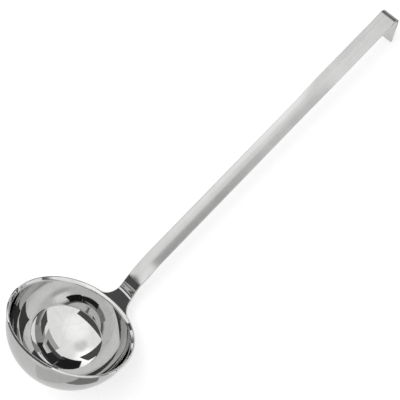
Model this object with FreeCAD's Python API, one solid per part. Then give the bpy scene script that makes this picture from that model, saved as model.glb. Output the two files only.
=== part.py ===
import FreeCAD, Part
import math
import os

# Soup ladle pressed from one stainless blank. Sizes in mm, angles in degrees.
# The bowl is formed upright, with the edge of its lip in the plane z = 0 and the neck towards +X.
# The finished ladle lies on a table on the round of its bowl and the tip of its hook.

# Sheet
sheet = 2.0
edge_break = 0.4

# Bowl and lip
bowl_radius = 49.2
lip_flare = 2.1
lip_slope = 51.0
crease_bend = 1.0

# Neck
neck_width = 14.2
neck_foot = 7.3
neck_curve = 14.8
neck_slope = 77.0
neck_top = 10.5
shoulder_radius = 13.0

# Handle
handle_bend = 74.0
handle_slope = 48.8
handle_width_low = 16.1
handle_width_high = 15.4
crown_radius = 19.0
crown_lead = 10.0
crown_end = 167.0
crown_fade = 35.0
handle_reach = 279.3

# Hanging hook
hook_bend = 3.3
hook_turn = 112.0
hook_flap = 24.1

V = FreeCAD.Vector
UP = V(0, 0, 1)
lip_radius = bowl_radius + lip_flare
lip_angle = math.radians(lip_slope)
neck_angle = math.radians(neck_slope)
top_angle = neck_angle - neck_top / handle_bend
handle_angle = math.radians(handle_slope)


def heading(angle):
    return V(math.cos(angle), 0, math.sin(angle))


def face_normal(angle):
    return V(-math.sin(angle), 0, math.cos(angle))


def arc(start, middle, end):
    return Part.Arc(start, middle, end).toShape()


def arc_about(centre, start, end):
    radius = (start - centre).Length
    middle = (start + end) * 0.5 - centre
    return arc(start, centre + middle.normalize() * radius, end)


def line(start, end):
    return Part.makeLine(start, end)


# Inside of the pressing, turned from its meridian: round wall, crease, flared lip, rising neck
lip_edge = V(lip_radius, 0, 0)
flare = heading(lip_angle)
under = face_normal(lip_angle) * -1
bowl_centre = V(0, 0, 0)
bowl_outer_radius = bowl_radius + sheet
crease_inside = crease_bend + sheet

offset = lip_edge + under * crease_inside - bowl_centre
along = offset.dot(flare)
root = along ** 2 - offset.dot(offset) + (bowl_radius + crease_inside) ** 2
crease_centre = bowl_centre + offset + flare * (math.sqrt(root) - along)
wall_end = bowl_centre + (crease_centre - bowl_centre).normalize() * bowl_radius
lip_start = crease_centre - under * crease_inside
foot_end = lip_edge + flare * neck_foot
curve_centre = foot_end + face_normal(lip_angle) * neck_curve
curve_end = curve_centre - face_normal(neck_angle) * neck_curve
bend_centre = curve_end - face_normal(neck_angle) * handle_bend
neck_way = heading(top_angle)
neck_end = bend_centre + face_normal(top_angle) * handle_bend
strip_tip = bend_centre + face_normal(top_angle - sheet / handle_bend) * handle_bend

wall = arc_about(bowl_centre, bowl_centre - UP * bowl_radius, wall_end)
crease = arc_about(crease_centre, wall_end, lip_start)
rise = arc_about(curve_centre, foot_end, curve_end)
top = arc_about(bend_centre, curve_end, strip_tip)
meridian = Part.Wire([wall, crease, line(lip_start, foot_end), rise, top])
inside = meridian.revolve(V(0, 0, 0), UP, 360)

# Outline of the blank seen along the bowl axis: lip circle, two shoulders, neck strip
half_neck = neck_width / 2
shoulder_x = math.sqrt((lip_radius + shoulder_radius) ** 2 - (half_neck + shoulder_radius) ** 2)
shoulder_y = half_neck + shoulder_radius
on_lip = V(shoulder_x, shoulder_y, 0) * (lip_radius / (lip_radius + shoulder_radius))
strip_end = strip_tip.x + sheet


def mirrored(point):
    return V(point.x, -point.y, point.z)


def outline_at(z):
    near = V(shoulder_x, half_neck, 0)
    far = V(strip_end, half_neck, 0)
    centre = V(shoulder_x, shoulder_y, 0)
    lip = arc(on_lip, V(-lip_radius, 0, 0), mirrored(on_lip))
    left = arc_about(centre, near, on_lip)
    right = arc_about(mirrored(centre), mirrored(on_lip), mirrored(near))
    sides = [line(mirrored(near), mirrored(far)), line(mirrored(far), far), line(far, near)]
    wire = Part.Wire([lip, right] + sides + [left])
    wire.translate(UP * z)
    return wire


blank_low = bowl_centre.z - bowl_outer_radius - sheet
blank_high = strip_tip.z + sheet
blank = Part.Face(outline_at(blank_low)).extrude(UP * (blank_high - blank_low))

# The trimmed inside is backed by one sheet thickness, so every cut edge stands square to the sheet
skin = Part.Shell(inside.common(blank).Faces)
pressing = Part.Solid(skin.makeOffsetShape(sheet, 1e-4, False, False, 0, 0, True))
if pressing.Volume < 0:
    pressing.reverse()

# The neck strip ends square on its way round the bend to the handle
beyond = Part.makeBox(lip_radius, lip_radius, lip_radius)
beyond.translate(V(0, -lip_radius / 2, -lip_radius / 2))
beyond.rotate(V(0, 0, 0), V(0, 1, 0), -math.degrees(top_angle))
beyond.translate(neck_end)
pressing = pressing.cut(beyond).Solids[0]

# The cut edges of lip, shoulders and neck are broken: above all round, below along the lip
rims = [e for e in skin.Edges if len(skin.ancestorsOfType(e, Part.Face)) == 1]
rim = Part.Compound(rims)


def on_rim(edge, depth):
    low, high = edge.ParameterRange
    points = [edge.valueAt(low + (high - low) * part) for part in (0.25, 0.5, 0.75)]
    if max(abs((p - neck_end).dot(neck_way)) for p in points) < 1e-3:
        return False
    return max(abs(rim.distToShape(Part.Vertex(p))[0] - depth) for p in points) < 1e-3


pressing = pressing.makeChamfer(edge_break, [e for e in pressing.Edges if on_rim(e, 0)])

# Bowl and neck part halfway up the lip, under the shoulders
part_radius = (lip_start.x + lip_radius) / 2
part_angle = math.degrees(math.atan2(on_lip.y, on_lip.x) + sheet / lip_radius)
sector_foot = V(0, 0, blank_low)
sector_height = blank_high - blank_low
sector_reach = strip_end + sheet
sector = Part.makeCylinder(sector_reach, sector_height, sector_foot, UP, 2 * part_angle)
sector.rotate(V(0, 0, 0), UP, -part_angle)
sector = sector.cut(Part.makeCylinder(part_radius, sector_height, sector_foot, UP))
bowl = pressing.cut(sector).Solids[0]
bowl = bowl.makeChamfer(edge_break, [e for e in bowl.Edges if on_rim(e, sheet)])
neck = pressing.common(sector).Solids[0]

# Handle: cross sections bent to a curvature, positive for a crown and negative for a trough
handle_heading = heading(handle_angle)
handle_normal = face_normal(handle_angle)
handle_root = bend_centre + handle_normal * handle_bend


def on_handle(reach, height=0.0):
    return handle_root + handle_heading * reach + handle_normal * height


def cross_section(top, normal, width, curvature):
    half = width / 2

    def at(side, depth):
        if abs(curvature) < 1e-9:
            return top + V(0, side, 0) - normal * depth
        turn = side * curvature
        radius = 1 / curvature
        across = (radius - depth) * math.sin(turn)
        drop = radius - (radius - depth) * math.cos(turn)
        return top + V(0, across, 0) - normal * drop

    def span(start, middle, end):
        return arc(start, middle, end) if abs(curvature) > 1e-9 else line(start, end)

    inset = half - edge_break
    low = sheet - edge_break
    edges = [
        span(at(-inset, 0), at(0, 0), at(inset, 0)),
        line(at(inset, 0), at(half, edge_break)),
        line(at(half, edge_break), at(half, low)),
        line(at(half, low), at(inset, sheet)),
        span(at(inset, sheet), at(0, sheet), at(-inset, sheet)),
        line(at(-inset, sheet), at(-half, low)),
        line(at(-half, low), at(-half, edge_break)),
        line(at(-half, edge_break), at(-inset, 0)),
    ]
    return Part.Wire(edges)


trough = -math.sin(top_angle) / neck_end.x
crown = 1 / crown_radius
hook_start = handle_reach - hook_bend - sheet


def eased(share):
    return share * share * (3 - 2 * share)


def strip_width(reach):
    return handle_width_low + (handle_width_high - handle_width_low) * reach / hook_start


def strip_section(reach, curvature):
    return cross_section(on_handle(reach), handle_normal, strip_width(reach), curvature)


# Round the bend the neck's trough swells into the crown, and the strip widens
lead_share = crown_lead / (handle_bend * (top_angle - handle_angle))


def bend_section(share):
    swell = eased(min(share / lead_share, 1))
    normal = face_normal(top_angle + (handle_angle - top_angle) * share)
    width = neck_width + (handle_width_low - neck_width) * swell
    curvature = trough + (crown - trough) * swell
    return cross_section(bend_centre + normal * handle_bend, normal, width, curvature)


lead = [bend_section(lead_share * part) for part in (0.0, 0.25, 0.5, 0.75, 1.0)]
rest = [bend_section(lead_share + (1 - lead_share) * part) for part in (0.0, 0.33, 0.67, 1.0)]

# The crown runs straight, then fades into the flat end of the strip
fade_end = crown_end + crown_fade
run = [strip_section(0.0, crown), strip_section(crown_end, crown)]
fade = []
for share in (0.0, 0.25, 0.5, 0.75, 1.0):
    fade.append(strip_section(crown_end + crown_fade * share, crown * (1 - eased(share))))
flat = [strip_section(fade_end, 0.0), strip_section(hook_start, 0.0)]
handle = Part.makeLoft(lead, True, False)
for stretch, ruled in ((rest, False), (run, True), (fade, False), (flat, True)):
    handle = handle.fuse(Part.makeLoft(stretch, True, ruled))
handle = handle.removeSplitter().Solids[0]

# Hanging hook: the strip folded down and back, with a rounded tip
turn = math.radians(hook_turn)
outer_bend = hook_bend + sheet
half_hook = handle_width_high / 2
fold_centre = on_handle(hook_start, -outer_bend)


def fold(radius, angle):
    across = handle_heading * (radius * math.sin(angle))
    return fold_centre + across + handle_normal * (radius * math.cos(angle))


flap_way = handle_heading * math.cos(turn) - handle_normal * math.sin(turn)
flap_run = flap_way * (hook_flap - sheet / 2)
tip_centre = fold(hook_bend + sheet / 2, turn) + flap_run
outer_end = fold(outer_bend, turn) + flap_run
inner_end = fold(hook_bend, turn) + flap_run
profile = [
    arc(fold(outer_bend, 0), fold(outer_bend, turn / 2), fold(outer_bend, turn)),
    line(fold(outer_bend, turn), outer_end),
    arc(outer_end, tip_centre + flap_way * (sheet / 2), inner_end),
    line(inner_end, fold(hook_bend, turn)),
    arc(fold(hook_bend, turn), fold(hook_bend, turn / 2), fold(hook_bend, 0)),
    line(fold(hook_bend, 0), fold(outer_bend, 0)),
]
hook_face = Part.Face(Part.Wire(profile))
hook_face.translate(V(0, -half_hook, 0))
hook = hook_face.extrude(V(0, handle_width_high, 0))


def on_hook_side(edge):
    low, high = edge.ParameterRange
    points = [edge.valueAt(low + (high - low) * part) for part in (0, 0.5, 1)]
    if min(abs(p.y) for p in points) < half_hook - 1e-4 or points[0].y * points[2].y < 0:
        return False
    return max(abs((p - fold_centre).dot(handle_heading)) for p in points) > 1e-4


hook = hook.makeChamfer(edge_break, [e for e in hook.Edges if on_hook_side(e)])

# Laid on the table: the round of the bowl and the tip of the hook touch z = 0
to_tip = tip_centre - bowl_centre
lean = math.atan2(to_tip.z, to_tip.x) + math.asin((bowl_outer_radius - sheet / 2) / to_tip.Length)
table_way = heading(lean)
table_up = face_normal(lean)
low_end = bowl_centre.dot(table_way) - bowl_outer_radius
high_end = fold_centre.dot(table_way) + outer_bend
table_level = bowl_centre.dot(table_up) - bowl_outer_radius

os.makedirs("parts", exist_ok=True)
for name, shape in (("bowl", bowl), ("neck", neck), ("handle", handle), ("hanging_hook", hook)):
    laid = shape.copy()
    laid.rotate(V(0, 0, 0), V(0, 1, 0), math.degrees(lean))
    laid.translate(V(-(low_end + high_end) / 2, 0, -table_level))
    laid.exportStep("parts/" + name + ".step")
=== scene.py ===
import math

import bmesh
import bpy
import numpy as np
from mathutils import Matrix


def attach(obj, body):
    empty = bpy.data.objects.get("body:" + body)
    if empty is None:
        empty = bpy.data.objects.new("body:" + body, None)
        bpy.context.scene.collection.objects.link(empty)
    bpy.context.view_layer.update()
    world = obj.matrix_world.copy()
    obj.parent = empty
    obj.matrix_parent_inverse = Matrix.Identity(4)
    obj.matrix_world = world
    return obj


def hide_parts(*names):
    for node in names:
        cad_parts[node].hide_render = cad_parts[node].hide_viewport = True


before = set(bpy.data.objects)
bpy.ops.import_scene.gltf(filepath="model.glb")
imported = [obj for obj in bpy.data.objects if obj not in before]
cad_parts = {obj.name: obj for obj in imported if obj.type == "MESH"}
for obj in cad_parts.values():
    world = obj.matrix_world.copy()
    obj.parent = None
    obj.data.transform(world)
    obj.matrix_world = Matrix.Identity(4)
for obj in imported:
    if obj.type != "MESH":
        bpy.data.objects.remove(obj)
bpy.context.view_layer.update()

# Soup ladle: the pressed sheet drawn finely, as bowl, neck, handle and hanging hook. Sizes in mm.
sheet = 2.0
edge_round = 0.65
edge_share = 0.45
bowl_radius = 49.2
lip_radius = 51.3
lip_angle = math.radians(51.0)
crease_bend = 1.0
neck_width = 14.2
neck_foot = 7.3
neck_curve = 14.8
neck_angle = math.radians(77.0)
neck_top = 10.5
shoulder_radius = 13.0
handle_bend = 74.0
handle_angle = math.radians(48.8)
handle_width_low = 16.1
handle_width_high = 15.4
crown_radius = 19.0
crown_lead = 10.0
crown_end = 167.0
crown_fade = 35.0
handle_reach = 279.3
hook_bend = 3.3
hook_turn = math.radians(112.0)
hook_flap = 24.1

# Fineness of the meshes, counted in points or steps
across_count = 25
edge_steps = 5
wall_rows = 81
crease_rows = 9
lip_rows = 3
outer_columns = 221
lip_columns = 4
shoulder_columns = 32
fan_rows = 30
lead_rings = 22
bend_rings = 9
crown_rings = 29
fade_rings = 20
flat_rings = 11
fold_rings = 29
flap_rings = 8
tip_rings = 8
tip_turn = 88.0
nearly_flat = 1e-9

Y = np.array([0.0, 1.0, 0.0])


def vec(x, y, z):
    return np.array([x, y, z], float)


def unit(v):
    return v / np.linalg.norm(v)


def heading(angle):
    return vec(math.cos(angle), 0, math.sin(angle))


def face_normal(angle):
    return vec(-math.sin(angle), 0, math.cos(angle))


def eased(share):
    return share * share * (3 - 2 * share)


def further(low, high, count):
    """Even steps from low up to high, without low itself."""
    return np.linspace(low, high, count + 1)[1:]


# Meridian of the pressing's inside: round wall, crease, flared lip, rising neck
flare = heading(lip_angle)
under = -face_normal(lip_angle)
lip_edge = vec(lip_radius, 0, 0)
crease_inside = crease_bend + sheet
offset = lip_edge + under * crease_inside
along = offset @ flare
crease_reach = math.sqrt(along ** 2 - offset @ offset + (bowl_radius + crease_inside) ** 2) - along
crease_centre = offset + flare * crease_reach
wall_end = unit(crease_centre) * bowl_radius
lip_start = crease_centre - under * crease_inside
part_radius = (lip_start[0] + lip_radius) / 2
foot_end = lip_edge + flare * neck_foot
curve_centre = foot_end + face_normal(lip_angle) * neck_curve
curve_end = curve_centre - face_normal(neck_angle) * neck_curve
bend_centre = curve_end - face_normal(neck_angle) * handle_bend
top_angle = neck_angle - neck_top / handle_bend

# Lie of the finished ladle on the table
hook_start = handle_reach - hook_bend - sheet
handle_heading = heading(handle_angle)
handle_normal = face_normal(handle_angle)
handle_root = bend_centre + handle_normal * handle_bend
outer_bend = hook_bend + sheet


def on_handle(reach, height=0.0):
    return handle_root + handle_heading * reach + handle_normal * height


fold_centre = on_handle(hook_start, -outer_bend)


def fold_normal(angle):
    return handle_heading * math.sin(angle) + handle_normal * math.cos(angle)


def fold(radius, angle):
    ahead = handle_heading * (radius * math.sin(angle))
    return fold_centre + ahead + handle_normal * (radius * math.cos(angle))


flap_straight = hook_flap - sheet / 2
flap_way = handle_heading * math.cos(hook_turn) - handle_normal * math.sin(hook_turn)
tip_centre = fold(hook_bend + sheet / 2, hook_turn) + flap_way * flap_straight
bowl_outer_radius = bowl_radius + sheet
lean = math.atan2(tip_centre[2], tip_centre[0])
lean += math.asin((bowl_outer_radius - sheet / 2) / np.linalg.norm(tip_centre))
table_way = heading(lean)
table_up = face_normal(lean)
middle = (fold_centre @ table_way + outer_bend - bowl_outer_radius) / 2


def laid(points):
    along = points @ table_way - middle
    height = points @ table_up + bowl_outer_radius
    return np.stack([along, points[..., 1], height], axis=-1) / 1000


def laid_normals(normals):
    return np.stack([normals @ table_way, normals[..., 1], normals @ table_up], axis=-1)


def placed(name, data):
    made = bpy.data.objects.new(name, data)
    bpy.context.scene.collection.objects.link(made)
    return made


class Skin:
    """Points with their true normals, and the faces between them."""

    def __init__(self):
        self.points = []
        self.normals = []
        self.faces = []
        self.caps = []

    def add(self, point, normal):
        self.points.append(point)
        self.normals.append(unit(normal))
        return len(self.points) - 1

    def net(self, points, normals, wanted=None):
        index = -np.ones(points.shape[:2], int)
        for i in range(points.shape[0]):
            for j in range(points.shape[1]):
                if wanted is None or wanted[i, j]:
                    index[i, j] = self.add(points[i, j], normals[i, j])
        return index

    def quads(self, index, closed_rows=False, closed_columns=False):
        rows, columns = index.shape
        for i in range(rows if closed_rows else rows - 1):
            for j in range(columns if closed_columns else columns - 1):
                a, b = index[i, j], index[i, (j + 1) % columns]
                c, d = index[(i + 1) % rows, (j + 1) % columns], index[(i + 1) % rows, j]
                if min(a, b, c, d) >= 0:
                    self.faces.append((a, b, c, d))

    def cap(self, *corners):
        """A flat face, shaded by its own normal."""
        self.caps.append(corners)

    def build(self, name, material):
        points = laid(np.array(self.points))
        normals = laid_normals(np.array(self.normals))
        faces = [tuple(int(i) for i in face) for face in self.faces + self.caps]
        mesh = bpy.data.meshes.new(name)
        mesh.from_pydata(points.tolist(), [], faces)
        work = bmesh.new()
        work.from_mesh(mesh)
        bmesh.ops.recalc_face_normals(work, faces=work.faces)
        work.to_mesh(mesh)
        work.free()
        mesh.materials.append(material)
        mesh.shade_smooth()
        loops = []
        skin_count = len(self.faces)
        for polygon in mesh.polygons:
            if polygon.index < skin_count:
                loops.extend(normals[v].tolist() for v in polygon.vertices)
            else:
                loops.extend(list(polygon.normal) for v in polygon.vertices)
        mesh.normals_split_custom_set(loops)
        piece = placed(name + "_skin", mesh)
        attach(piece, "root")
        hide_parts(name)


def rounding(thickness):
    return min(edge_round, thickness * edge_share)


def rounded_edge(top, normal, out, thickness=sheet):
    """Points and normals round a cut edge, between the inset lines above and below."""
    r = rounding(thickness)
    points, normals = [], []
    for step in range(1, edge_steps + 1):
        a = math.pi / 2 * step / edge_steps
        n = normal * math.cos(a) + out * math.sin(a)
        points.append(top - out * r - normal * r + n * r)
        normals.append(n)
    for step in range(edge_steps):
        a = math.pi / 2 * step / edge_steps
        n = out * math.cos(a) - normal * math.sin(a)
        points.append(top - out * r - normal * (thickness - r) + n * r)
        normals.append(n)
    return points, normals


def section(top, normal, width, curvature, thickness=sheet):
    """Ring of points round the strip, bent to a curvature: crown above zero, trough below."""
    half = width / 2
    inset = half - rounding(thickness)

    def at(side, depth):
        if abs(curvature) < nearly_flat:
            return top + Y * side - normal * depth
        turn = side * curvature
        radius = 1 / curvature
        drop = radius - (radius - depth) * math.cos(turn)
        return top + Y * ((radius - depth) * math.sin(turn)) - normal * drop

    def upward(side):
        return normal * math.cos(side * curvature) + Y * math.sin(side * curvature)

    def outward(side):
        way = Y * math.cos(side * curvature) - normal * math.sin(side * curvature)
        return way if side > 0 else -way

    sides = np.linspace(inset, -inset, across_count)
    points = [at(s, 0) for s in sides]
    normals = [upward(s) for s in sides]
    edge = rounded_edge(at(-half, 0), upward(-half), outward(-half), thickness)
    points += edge[0]
    normals += edge[1]
    points += [at(s, thickness) for s in sides[::-1]]
    normals += [-upward(s) for s in sides[::-1]]
    edge = rounded_edge(at(half, 0), upward(half), outward(half), thickness)
    points += edge[0][::-1]
    normals += edge[1][::-1]
    return np.array(points), np.array(normals)


# Where each point of the section stands in the ring
edge_count = 2 * edge_steps
top_run = list(range(across_count))
right_run = list(range(across_count, across_count + edge_count))
low_run = list(range(across_count + edge_count, 2 * across_count + edge_count))
left_run = list(range(2 * across_count + edge_count, 2 * (across_count + edge_count)))

# Round the bend the neck's trough swells into the crown, which later fades into the flat end
trough = -math.sin(top_angle) / (bend_centre + face_normal(top_angle) * handle_bend)[0]
crown = 1 / crown_radius
bend_length = handle_bend * (top_angle - handle_angle)


def strip_width(reach):
    return handle_width_low + (handle_width_high - handle_width_low) * reach / hook_start


def on_strip(reach, curvature):
    return on_handle(reach), handle_normal, strip_width(reach), curvature


stations = []
lead = np.linspace(0, crown_lead, lead_rings)
for length in np.concatenate([lead, further(crown_lead, bend_length, bend_rings)]):
    swell = eased(min(length / crown_lead, 1))
    normal = face_normal(top_angle - length / handle_bend)
    width = neck_width + (handle_width_low - neck_width) * swell
    curvature = trough + (crown - trough) * swell
    stations.append((bend_centre + normal * handle_bend, normal, width, curvature))
for reach in further(0, crown_end, crown_rings):
    stations.append(on_strip(reach, crown))
for share in further(0, 1, fade_rings):
    stations.append(on_strip(crown_end + crown_fade * share, crown * (1 - eased(share))))
for reach in further(crown_end + crown_fade, hook_start, flat_rings):
    stations.append(on_strip(reach, 0.0))

rings = [section(*station) for station in stations]
ring_points = np.array([points for points, normals in rings])
ring_normals = np.array([normals for points, normals in rings])
run = np.gradient(ring_points, axis=0)
run /= np.linalg.norm(run, axis=-1, keepdims=True)
ring_normals = ring_normals - run * np.sum(ring_normals * run, axis=-1, keepdims=True)

# Outline of the neck's fan, from the lip on the left to the strip; the right side mirrors it
half_neck = neck_width / 2
shoulder_x = math.sqrt((lip_radius + shoulder_radius) ** 2 - (half_neck + shoulder_radius) ** 2)
shoulder_y = half_neck + shoulder_radius
tangent_angle = math.atan2(shoulder_y, shoulder_x)
part_angle = tangent_angle + sheet / lip_radius
rise_end = neck_foot + neck_curve * (neck_angle - lip_angle)


def on_meridian(length):
    """Radius, height and slope of the pressing, by the length of sheet beyond the lip's edge."""
    if length < neck_foot:
        angle = lip_angle
        point = lip_edge + flare * length
    elif length < rise_end:
        angle = lip_angle + (length - neck_foot) / neck_curve
        point = curve_centre - face_normal(angle) * neck_curve
    else:
        angle = neck_angle - (length - rise_end) / handle_bend
        point = bend_centre + face_normal(angle) * handle_bend
    return point[0], point[2], angle


def length_at(radius):
    if radius < foot_end[0]:
        return (radius - lip_radius) / flare[0]
    if radius < curve_end[0]:
        turned = math.asin((radius - curve_centre[0]) / neck_curve) - lip_angle
        return neck_foot + neck_curve * turned
    return rise_end + handle_bend * (neck_angle - math.asin((bend_centre[0] - radius) / handle_bend))


def on_pressing(x, y):
    """Point and normal of the pressing's upper face over a place in plan."""
    r, height, angle = on_meridian(length_at(math.hypot(x, y)))
    normal = vec(-math.sin(angle) * x / r, -math.sin(angle) * y / r, math.cos(angle))
    return vec(x, y, height), normal


lip_angles = np.linspace(part_angle, tangent_angle, lip_columns)
fan = []
for angle in lip_angles:
    c, s = math.cos(angle), math.sin(angle)
    out = vec(math.cos(lip_angle) * c, math.cos(lip_angle) * s, math.sin(lip_angle))
    fan.append((lip_radius * c, lip_radius * s, out))
arc_from = math.atan2(-math.sin(tangent_angle), -math.cos(tangent_angle))
for share in further(0, 1, shoulder_columns):
    turn = arc_from + (-math.pi / 2 - arc_from) * share
    inward = vec(math.cos(turn), math.sin(turn), 0)
    x, y = shoulder_x + shoulder_radius * inward[0], shoulder_y + shoulder_radius * inward[1]
    reach = math.hypot(x, y)
    steep = math.tan(on_meridian(length_at(reach))[2])
    level = vec(-inward[1], inward[0], 0)
    way = level + vec(0, 0, steep * (level[0] * x + level[1] * y) / reach)
    out = unit(np.cross(way, on_pressing(x, y)[1]))
    fan.append((x, y, out if out @ inward < 0 else -out))

side_columns = []
for x, y, out in fan:
    top, normal = on_pressing(x, y)
    side_columns.append((top - out * edge_round, normal, rounded_edge(top, normal, out)))

# Angle on the parting circle that each column of the fan starts from
inner_corner = math.asin((half_neck - edge_round) / part_radius)
side_count = len(side_columns)
last_lip = lip_columns - 1
angles = list(lip_angles)
for j in range(lip_columns, side_count):
    share = (j - last_lip) / (side_count - last_lip)
    angles.append(tangent_angle + (inner_corner - tangent_angle) * share)
end_sides = np.linspace(half_neck - edge_round, -(half_neck - edge_round), across_count)
fan_angles = angles + [math.asin(s / part_radius) for s in end_sides] + [-a for a in angles[::-1]]

# Each column runs up the inside, round the cut edge if it has one, and down the outside
column_count = len(fan_angles)
per_column = 2 * (fan_rows + 1) + edge_count
edge_span = slice(fan_rows + 1, per_column - fan_rows - 1)
fan_points = np.zeros((column_count, per_column, 3))
fan_normals = np.zeros((column_count, per_column, 3))
fan_wanted = np.ones((column_count, per_column), bool)
start_points = ring_points[0]
start_normals = ring_normals[0]
start_length = length_at(part_radius)


def mirror(points):
    return np.array(points) * vec(1, -1, 1)


for j, angle in enumerate(fan_angles):
    strip = j - side_count
    if strip < 0:
        end, end_normal, edge = side_columns[j]
    elif strip >= across_count:
        end, end_normal, edge = side_columns[column_count - 1 - j]
        end, end_normal, edge = mirror(end), mirror(end_normal), (mirror(edge[0]), mirror(edge[1]))
    else:
        end, end_normal = start_points[top_run[strip]], start_normals[top_run[strip]]
        edge = None
        if strip == 0:
            edge = start_points[left_run[::-1]], start_normals[left_run[::-1]]
        elif strip == across_count - 1:
            edge = start_points[right_run], start_normals[right_run]
    end_radius = math.hypot(end[0], end[1])
    end_length = length_at(end_radius)
    for k in range(fan_rows + 1):
        r = on_meridian(start_length + (end_length - start_length) * (k / fan_rows))[0]
        plan_share = (r - part_radius) / (end_radius - part_radius)
        y = part_radius * math.sin(angle) * (1 - plan_share) + end[1] * plan_share
        point, normal = on_pressing(math.sqrt(r * r - y * y), y)
        if k == fan_rows:
            point, normal = end, unit(end_normal)
        fan_points[j, k] = point
        fan_normals[j, k] = normal
        fan_points[j, per_column - 1 - k] = point - normal * sheet
        fan_normals[j, per_column - 1 - k] = -normal
    if edge is None:
        fan_wanted[j, edge_span] = False
    else:
        fan_points[j, edge_span], fan_normals[j, edge_span] = edge

# Profile of the bowl: up the inside, round the lip's edge, down the outside
inside_points, inside_normals = [], []
wall_top = math.asin(wall_end[2] / bowl_radius)
for angle in np.linspace(-math.pi / 2, wall_top, wall_rows):
    way = heading(angle)
    inside_points.append(way * bowl_radius)
    inside_normals.append(-way)
from_wall = math.atan2((wall_end - crease_centre)[2], (wall_end - crease_centre)[0])
from_lip = math.atan2((lip_start - crease_centre)[2], (lip_start - crease_centre)[0])
if from_wall < 0:
    from_wall += 2 * math.pi
for angle in further(from_wall, from_lip, crease_rows):
    way = heading(angle)
    inside_points.append(crease_centre + way * crease_inside)
    inside_normals.append(way)
part_point = lip_edge - flare * ((lip_radius - part_radius) / flare[0])
for share in further(0, 1, lip_rows):
    inside_points.append(lip_start + (part_point - lip_start) * share)
    inside_normals.append(-under)
lip_from = len(inside_points) - 1
lip_inset = lip_edge - flare * edge_round
for share in further(0, 1, fan_rows):
    inside_points.append(part_point + (lip_inset - part_point) * share)
    inside_normals.append(-under)
edge = rounded_edge(lip_edge, -under, flare)
outside_points = [p - n * sheet for p, n in zip(inside_points, inside_normals)]
outside_normals = [-n for n in inside_normals]
profile_points = np.array(inside_points + edge[0] + outside_points[::-1])
profile_normals = np.array(inside_normals + edge[1] + outside_normals[::-1])
lip_to = len(profile_points) - 1 - lip_from

outer_angles = list(np.linspace(part_angle, 2 * math.pi - part_angle, outer_columns))
around = outer_angles + fan_angles[-2:0:-1]
bowl_points = np.zeros((len(around), len(profile_points), 3))
bowl_normals = np.zeros_like(bowl_points)
for i, angle in enumerate(around):
    c, s = math.cos(angle), math.sin(angle)
    for target, source in ((bowl_points, profile_points), (bowl_normals, profile_normals)):
        target[i, :, 0] = source[:, 0] * c
        target[i, :, 1] = source[:, 0] * s
        target[i, :, 2] = source[:, 2]
bowl_wanted = np.ones(bowl_points.shape[:2], bool)
bowl_wanted[:, 0] = False
bowl_wanted[:, -1] = False
bowl_wanted[len(outer_angles):, lip_from + 1:lip_to] = False


class Graph:
    """Nodes of one material or world, made and linked by short calls."""

    def __init__(self, tree):
        self.tree = tree

    def put(self, target, value):
        if isinstance(value, bpy.types.NodeSocket):
            self.tree.links.new(value, target)
        else:
            target.default_value = value

    def node(self, kind, values=(), **settings):
        made = self.tree.nodes.new(kind)
        for key, value in settings.items():
            setattr(made, key, value)
        for key, value in dict(values).items():
            self.put(made.inputs[key], value)
        return made

    def maths(self, operation, *values):
        return self.node("ShaderNodeMath", enumerate(values), operation=operation).outputs[0]

    def dot(self, a, b):
        made = self.node("ShaderNodeVectorMath", ((0, a), (1, b)), operation="DOT_PRODUCT")
        return made.outputs["Value"]

    def ranged(self, value, from_low, from_high, to_low, to_high):
        ends = {"Value": value, "From Min": from_low, "From Max": from_high}
        ends.update({"To Min": to_low, "To Max": to_high})
        made = self.node("ShaderNodeMapRange", ends, interpolation_type="SMOOTHSTEP")
        return made.outputs["Result"]

    def noise(self, place, stretch, detail):
        mapping = self.node("ShaderNodeMapping", {"Vector": place, "Scale": stretch})
        scales = {"Vector": mapping.outputs["Vector"], "Scale": 1.0, "Detail": detail}
        return self.node("ShaderNodeTexNoise", scales).outputs["Fac"]


marks_detail = 3.0
clouds_detail = 4.0
marks_share = 0.6
clouds_share = 0.4
tone_range = (0.35, 0.65)
rough_range = (0.3, 0.7)


def steel(name, dark, light, smooth, rough, stretch, clouds, depth):
    """Metal with fine marks along its stretch, and broad clouds of tone under them."""
    material = bpy.data.materials.new(name)
    material.use_nodes = True
    graph = Graph(material.node_tree)
    shader = material.node_tree.nodes["Principled BSDF"]
    place = graph.node("ShaderNodeTexCoord").outputs["Object"]
    marks = graph.noise(place, stretch, marks_detail)
    cloud = graph.noise(place, (clouds, clouds, clouds), clouds_detail)
    marks_part = graph.maths("MULTIPLY", marks, marks_share)
    both = graph.maths("ADD", marks_part, graph.maths("MULTIPLY", cloud, clouds_share))
    tone = graph.ranged(both, *tone_range, 0.0, 1.0)
    mixed = graph.node("ShaderNodeMix", {"Factor": tone}, data_type="RGBA")
    graph.put(mixed.inputs[6], (*dark, 1))
    graph.put(mixed.inputs[7], (*light, 1))
    graph.put(shader.inputs["Base Color"], mixed.outputs[2])
    graph.put(shader.inputs["Roughness"], graph.ranged(both, *rough_range, smooth, rough))
    bump = graph.node("ShaderNodeBump", {"Height": marks, "Strength": 1.0, "Distance": depth})
    graph.put(shader.inputs["Normal"], bump.outputs["Normal"])
    graph.put(shader.inputs["Metallic"], 1.0)
    return material


mirror_steel = steel(
    "mirror_steel",
    dark=(0.58, 0.58, 0.575),
    light=(0.62, 0.62, 0.615),
    smooth=0.015,
    rough=0.05,
    stretch=(260, 260, 260),
    clouds=45,
    depth=0.0000012,
)
satin_steel = steel(
    "satin_steel",
    dark=(0.51, 0.51, 0.505),
    light=(0.58, 0.58, 0.575),
    smooth=0.24,
    rough=0.34,
    stretch=(9, 2600, 9),
    clouds=60,
    depth=0.000012,
)

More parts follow.
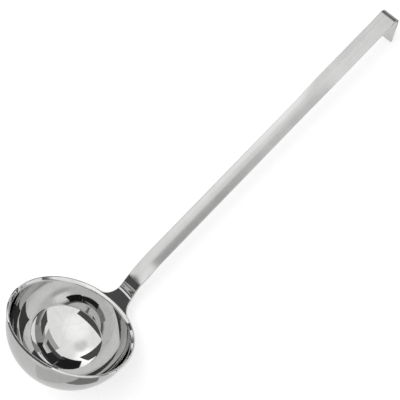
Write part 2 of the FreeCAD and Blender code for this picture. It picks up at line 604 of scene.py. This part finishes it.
# Bowl: a net turned about its axis, closed by the poles and the face that meets the neck
skin = Skin()
index = skin.net(bowl_points, bowl_normals, bowl_wanted)[:, 1:-1]
low = lip_from - 1
high = lip_to - 1
skin.quads(index, closed_rows=True)
pole = skin.add(profile_points[0], profile_normals[0])
foot = skin.add(profile_points[-1], profile_normals[-1])
total = len(around)
for i in range(total):
    skin.faces.append((pole, index[i, 0], index[(i + 1) % total, 0]))
    skin.faces.append((foot, index[(i + 1) % total, -1], index[i, -1]))
last = len(outer_angles) - 1
sector = list(range(last, total)) + [0]
for a, b in zip(sector[:-1], sector[1:]):
    skin.cap(index[a, low], index[a, high], index[b, high], index[b, low])
skin.cap(*index[0, low:high + 1][::-1])
skin.cap(*index[last, low:high + 1])
skin.build("bowl", mirror_steel)

# Neck: the fan, closed by the faces that meet the bowl, the handle and the cut lip
skin = Skin()
index = skin.net(fan_points, fan_normals, fan_wanted)
skin.quads(index)
for j in range(column_count - 1):
    skin.cap(index[j, 0], index[j + 1, 0], index[j + 1, -1], index[j, -1])
top_row, low_row = fan_rows, per_column - 1 - fan_rows
last_strip = side_count + across_count - 1
for j in range(side_count, last_strip):
    skin.cap(index[j, low_row], index[j + 1, low_row], index[j + 1, top_row], index[j, top_row])
skin.cap(*index[side_count, top_row:low_row + 1])
skin.cap(*index[last_strip, top_row:low_row + 1][::-1])
skin.cap(*index[0])
skin.cap(*index[-1][::-1])
skin.build("neck", mirror_steel)


def close_ring(skin, ring, flip):
    """Flat end of a strip: quads from edge to edge and the two rounded sides."""
    low = low_run[::-1]
    faces = [[top_run[j], top_run[j + 1], low[j + 1], low[j]] for j in range(across_count - 1)]
    faces.append([top_run[-1]] + right_run + [low_run[0]])
    faces.append([low_run[-1]] + left_run + [top_run[0]])
    for face in faces:
        corners = [ring[k] for k in face]
        skin.cap(*(corners[::-1] if flip else corners))


def build_strip(name, points, normals):
    skin = Skin()
    index = skin.net(points, normals)
    skin.quads(index, closed_columns=True)
    close_ring(skin, index[0], False)
    close_ring(skin, index[-1], True)
    skin.build(name, satin_steel)


build_strip("handle", ring_points, ring_normals)

# Hanging hook: the strip folded round its bend, then a flap with a rounded tip
hook_rings = []
for share in np.linspace(0, 1, fold_rings):
    turn = hook_turn * share
    hook_rings.append(section(fold(outer_bend, turn), fold_normal(turn), handle_width_high, 0.0))
flap_normal = fold_normal(hook_turn)
flap_start = fold(outer_bend, hook_turn)
for reach in further(0, flap_straight, flap_rings):
    hook_rings.append(section(flap_start + flap_way * reach, flap_normal, handle_width_high, 0.0))
for a in np.radians(further(0, tip_turn, tip_rings)):
    reach = flap_straight + sheet / 2 * math.sin(a)
    thin = sheet * math.cos(a)
    top = flap_start + flap_way * reach - flap_normal * ((sheet - thin) / 2)
    width = handle_width_high - 2 * edge_round * (1 - math.cos(a))
    points, normals = section(top, flap_normal, width, 0.0, thin)
    hook_rings.append((points, normals * math.cos(a) + flap_way * math.sin(a)))
hook_points = np.array([points for points, normals in hook_rings])
hook_normals = np.array([normals for points, normals in hook_rings])
build_strip("hanging_hook", hook_points, hook_normals)


def flat(name, low, high, height):
    """Level rectangle between two corners, in metres."""
    corners = [(low[0], low[1], height), (high[0], low[1], height)]
    corners += [(high[0], high[1], height), (low[0], high[1], height)]
    mesh = bpy.data.meshes.new(name)
    mesh.from_pydata(corners, [], [(0, 1, 2, 3)])
    return placed(name, mesh)


# Table: white paper that keeps a faint shadow
table_reach = 12.0
table_white = (0.9, 0.9, 0.9, 1)
table_glow = 0.6
table = flat("table", (-table_reach, -table_reach), (table_reach, table_reach), 0)
white = bpy.data.materials.new("table_white")
white.use_nodes = True
graph = Graph(white.node_tree)
paper = white.node_tree.nodes["Principled BSDF"]
graph.put(paper.inputs["Base Color"], table_white)
graph.put(paper.inputs["Roughness"], 1.0)
graph.put(paper.inputs["Specular IOR Level"], 0.0)
glow = graph.node("ShaderNodeEmission", {"Color": (1, 1, 1, 1), "Strength": 1.0})
rays = graph.node("ShaderNodeLightPath").outputs
seen = graph.maths("MAXIMUM", rays["Is Camera Ray"], rays["Is Glossy Ray"])
seen = graph.maths("MAXIMUM", seen, rays["Is Transmission Ray"])
surface = graph.node("ShaderNodeMixShader", {"Fac": graph.maths("MULTIPLY", seen, table_glow)})
graph.put(surface.inputs[1], paper.outputs["BSDF"])
graph.put(surface.inputs[2], glow.outputs["Emission"])
graph.put(white.node_tree.nodes["Material Output"].inputs["Surface"], surface.outputs["Shader"])
table.data.materials.append(white)

# Studio: a white tent over the table with dark openings towards the room
world = bpy.data.worlds.new("studio")
bpy.context.scene.world = world
world.use_nodes = True
graph = Graph(world.node_tree)
view = graph.node("ShaderNodeTexCoord").outputs["Generated"]
opening_soft = 0.015
in_front = 0.05


def towards(azimuth, elevation):
    a, e = math.radians(azimuth), math.radians(elevation)
    return vec(math.cos(e) * math.cos(a), math.cos(e) * math.sin(a), math.sin(e))


def across_and_up(way):
    side = unit(np.cross(vec(0, 0, 1), way))
    return side, np.cross(way, side)


def blended(level, mask, value):
    return graph.maths("MULTIPLY_ADD", mask, graph.maths("SUBTRACT", value, level), level)


def spot(level, azimuth, elevation, inner, outer, value):
    """Round patch of light that fades from its inner to its outer angle."""
    near = graph.dot(view, towards(azimuth, elevation).tolist())
    ends = math.cos(math.radians(outer)), math.cos(math.radians(inner))
    return blended(level, graph.ranged(near, *ends, 0.0, 1.0), value)


def panel(level, azimuth, elevation, half_wide, half_high, value):
    """Rectangular opening of the tent, with its half sizes as angles."""
    way = towards(azimuth, elevation)
    side, up = across_and_up(way)
    ahead = graph.dot(view, way.tolist())
    mask = graph.maths("GREATER_THAN", ahead, in_front)
    for axis, half in ((side, half_wide), (up, half_high)):
        offset = graph.maths("DIVIDE", graph.dot(view, axis.tolist()), ahead)
        limit = math.tan(math.radians(half))
        ends = limit - opening_soft, limit + opening_soft
        inside = graph.ranged(graph.maths("ABSOLUTE", offset), *ends, 1.0, 0.0)
        mask = graph.maths("MULTIPLY", mask, inside)
    return blended(level, mask, value)


# Tent's tone by the height of the view, from the dim horizon up
horizon_heights = (0.08, 0.3)
horizon_tone = 0.2
tent_tone = 1.18
height = graph.node("ShaderNodeSeparateXYZ", {0: view}).outputs["Z"]
level = graph.ranged(height, *horizon_heights, horizon_tone, tent_tone)

# Soft lights: azimuth, elevation, inner and outer angle in degrees, tone
level = spot(level, 61, 36, 5, 24, 1.7)
level = spot(level, 46, 62, 3, 16, 0.93)
level = spot(level, -75, 80, 4, 34, 1.42)

# Openings: azimuth, elevation, half width and half height in degrees, tone
level = panel(level, -33, 9, 13, 12, 0.4)
level = panel(level, 0, 14, 19, 13, 0.03)
level = panel(level, 36, 18, 16, 13, 0.02)

# Faint ribs of the tent, six of them out from one hub
rib_hub = (-62, 62)
rib_waves = 3.0
rib_edges = (0.01, 0.05)
rib_tone = 0.9
rib_side, rib_up = across_and_up(towards(*rib_hub))
rib_across = graph.dot(view, rib_side.tolist())
rib_along = graph.dot(view, rib_up.tolist())
rib_turn = graph.maths("MULTIPLY", graph.maths("ARCTAN2", rib_along, rib_across), rib_waves)
rib_square = graph.maths("POWER", rib_along, 2.0)
rib_reach = graph.maths("SQRT", graph.maths("MULTIPLY_ADD", rib_across, rib_across, rib_square))
rib_wave = graph.maths("ABSOLUTE", graph.maths("SINE", rib_turn))
rib_off = graph.maths("MULTIPLY", rib_wave, rib_reach)
level = graph.maths("MULTIPLY", level, graph.ranged(rib_off, *rib_edges, rib_tone, 1.0))
graph.put(world.node_tree.nodes["Background"].inputs["Color"], level)

# Lamp for the table's shadow, nearly overhead; the steel doesn't mirror it
lamp_data = bpy.data.lights.new("key", "AREA")
lamp_data.energy = 7.0
lamp_data.size = 1.0
lamp = placed("key", lamp_data)
lamp.location = (0.0, 0.3, 1.4)
lamp.rotation_euler = (math.radians(-12.1), 0, 0)
lamp.visible_glossy = False

card_fade = (-0.02, 0.075)


def card(name, low, high, height, tone, far_tone=None):
    """Plain card that only the steel mirrors; with a far tone it fades along the ladle."""
    made = flat(name, low, high, height)
    material = bpy.data.materials.new(name)
    material.use_nodes = True
    graph = Graph(material.node_tree)
    dim = graph.node("ShaderNodeEmission", {"Color": (tone, tone, tone, 1), "Strength": 1.0})
    if far_tone is not None:
        place = graph.node("ShaderNodeTexCoord").outputs["Object"]
        along = graph.node("ShaderNodeSeparateXYZ", {0: place}).outputs["X"]
        graph.put(dim.inputs["Color"], graph.ranged(along, *card_fade, tone, far_tone))
    output = material.node_tree.nodes["Material Output"]
    graph.put(output.inputs["Surface"], dim.outputs["Emission"])
    made.data.materials.append(material)
    made.visible_camera = False
    made.visible_shadow = False
    made.visible_diffuse = False


# Cards over the handle, on the table, round the bowl's lip and by the hook: corners, height, tone
card("card_handle", (-0.088, -0.06), (0.135, 0.011), 0.08, 0.56, 0.86)
card("card_left", (-0.6, -0.16), (-0.262, -0.004), 0.001, 0.62)
card("card_front", (-0.262, -0.22), (-0.19, -0.068), 0.001, 0.25)
card("card_neck", (-0.126, -0.004), (-0.111, 0.026), 0.042, 0.1)
card("card_far", (-0.26, -0.03), (-0.18, 0.09), 0.1, 0.1)
card("card_side", (-0.185, 0.046), (-0.125, 0.08), 0.062, 0.1)
card("card_right", (-0.135, -0.075), (-0.095, -0.025), 0.045, 0.1)
card("card_floor", (-0.9, -0.6), (-0.15, 0.6), 0.0005, 0.77)
card("card_hook", (0.215, -0.04), (0.32, 0.09), 0.05, 0.12)
card("card_under_hook", (0.208, -0.03), (0.3, 0.06), 0.0005, 0.2)

# Camera at the photograph's viewing angle
camera_turn = (18.0796, 10.7117, -44.7186)
camera_data = bpy.data.cameras.new("camera")
camera_data.sensor_width = 36.0
camera_data.lens = 100.734
camera_data.clip_end = 10.0
camera = placed("camera", camera_data)
camera.location = (-0.098802, -0.306963, 0.873555)
camera.rotation_euler = [math.radians(angle) for angle in camera_turn]
bpy.context.scene.camera = camera
bpy.context.scene.view_settings.view_transform = "Standard"
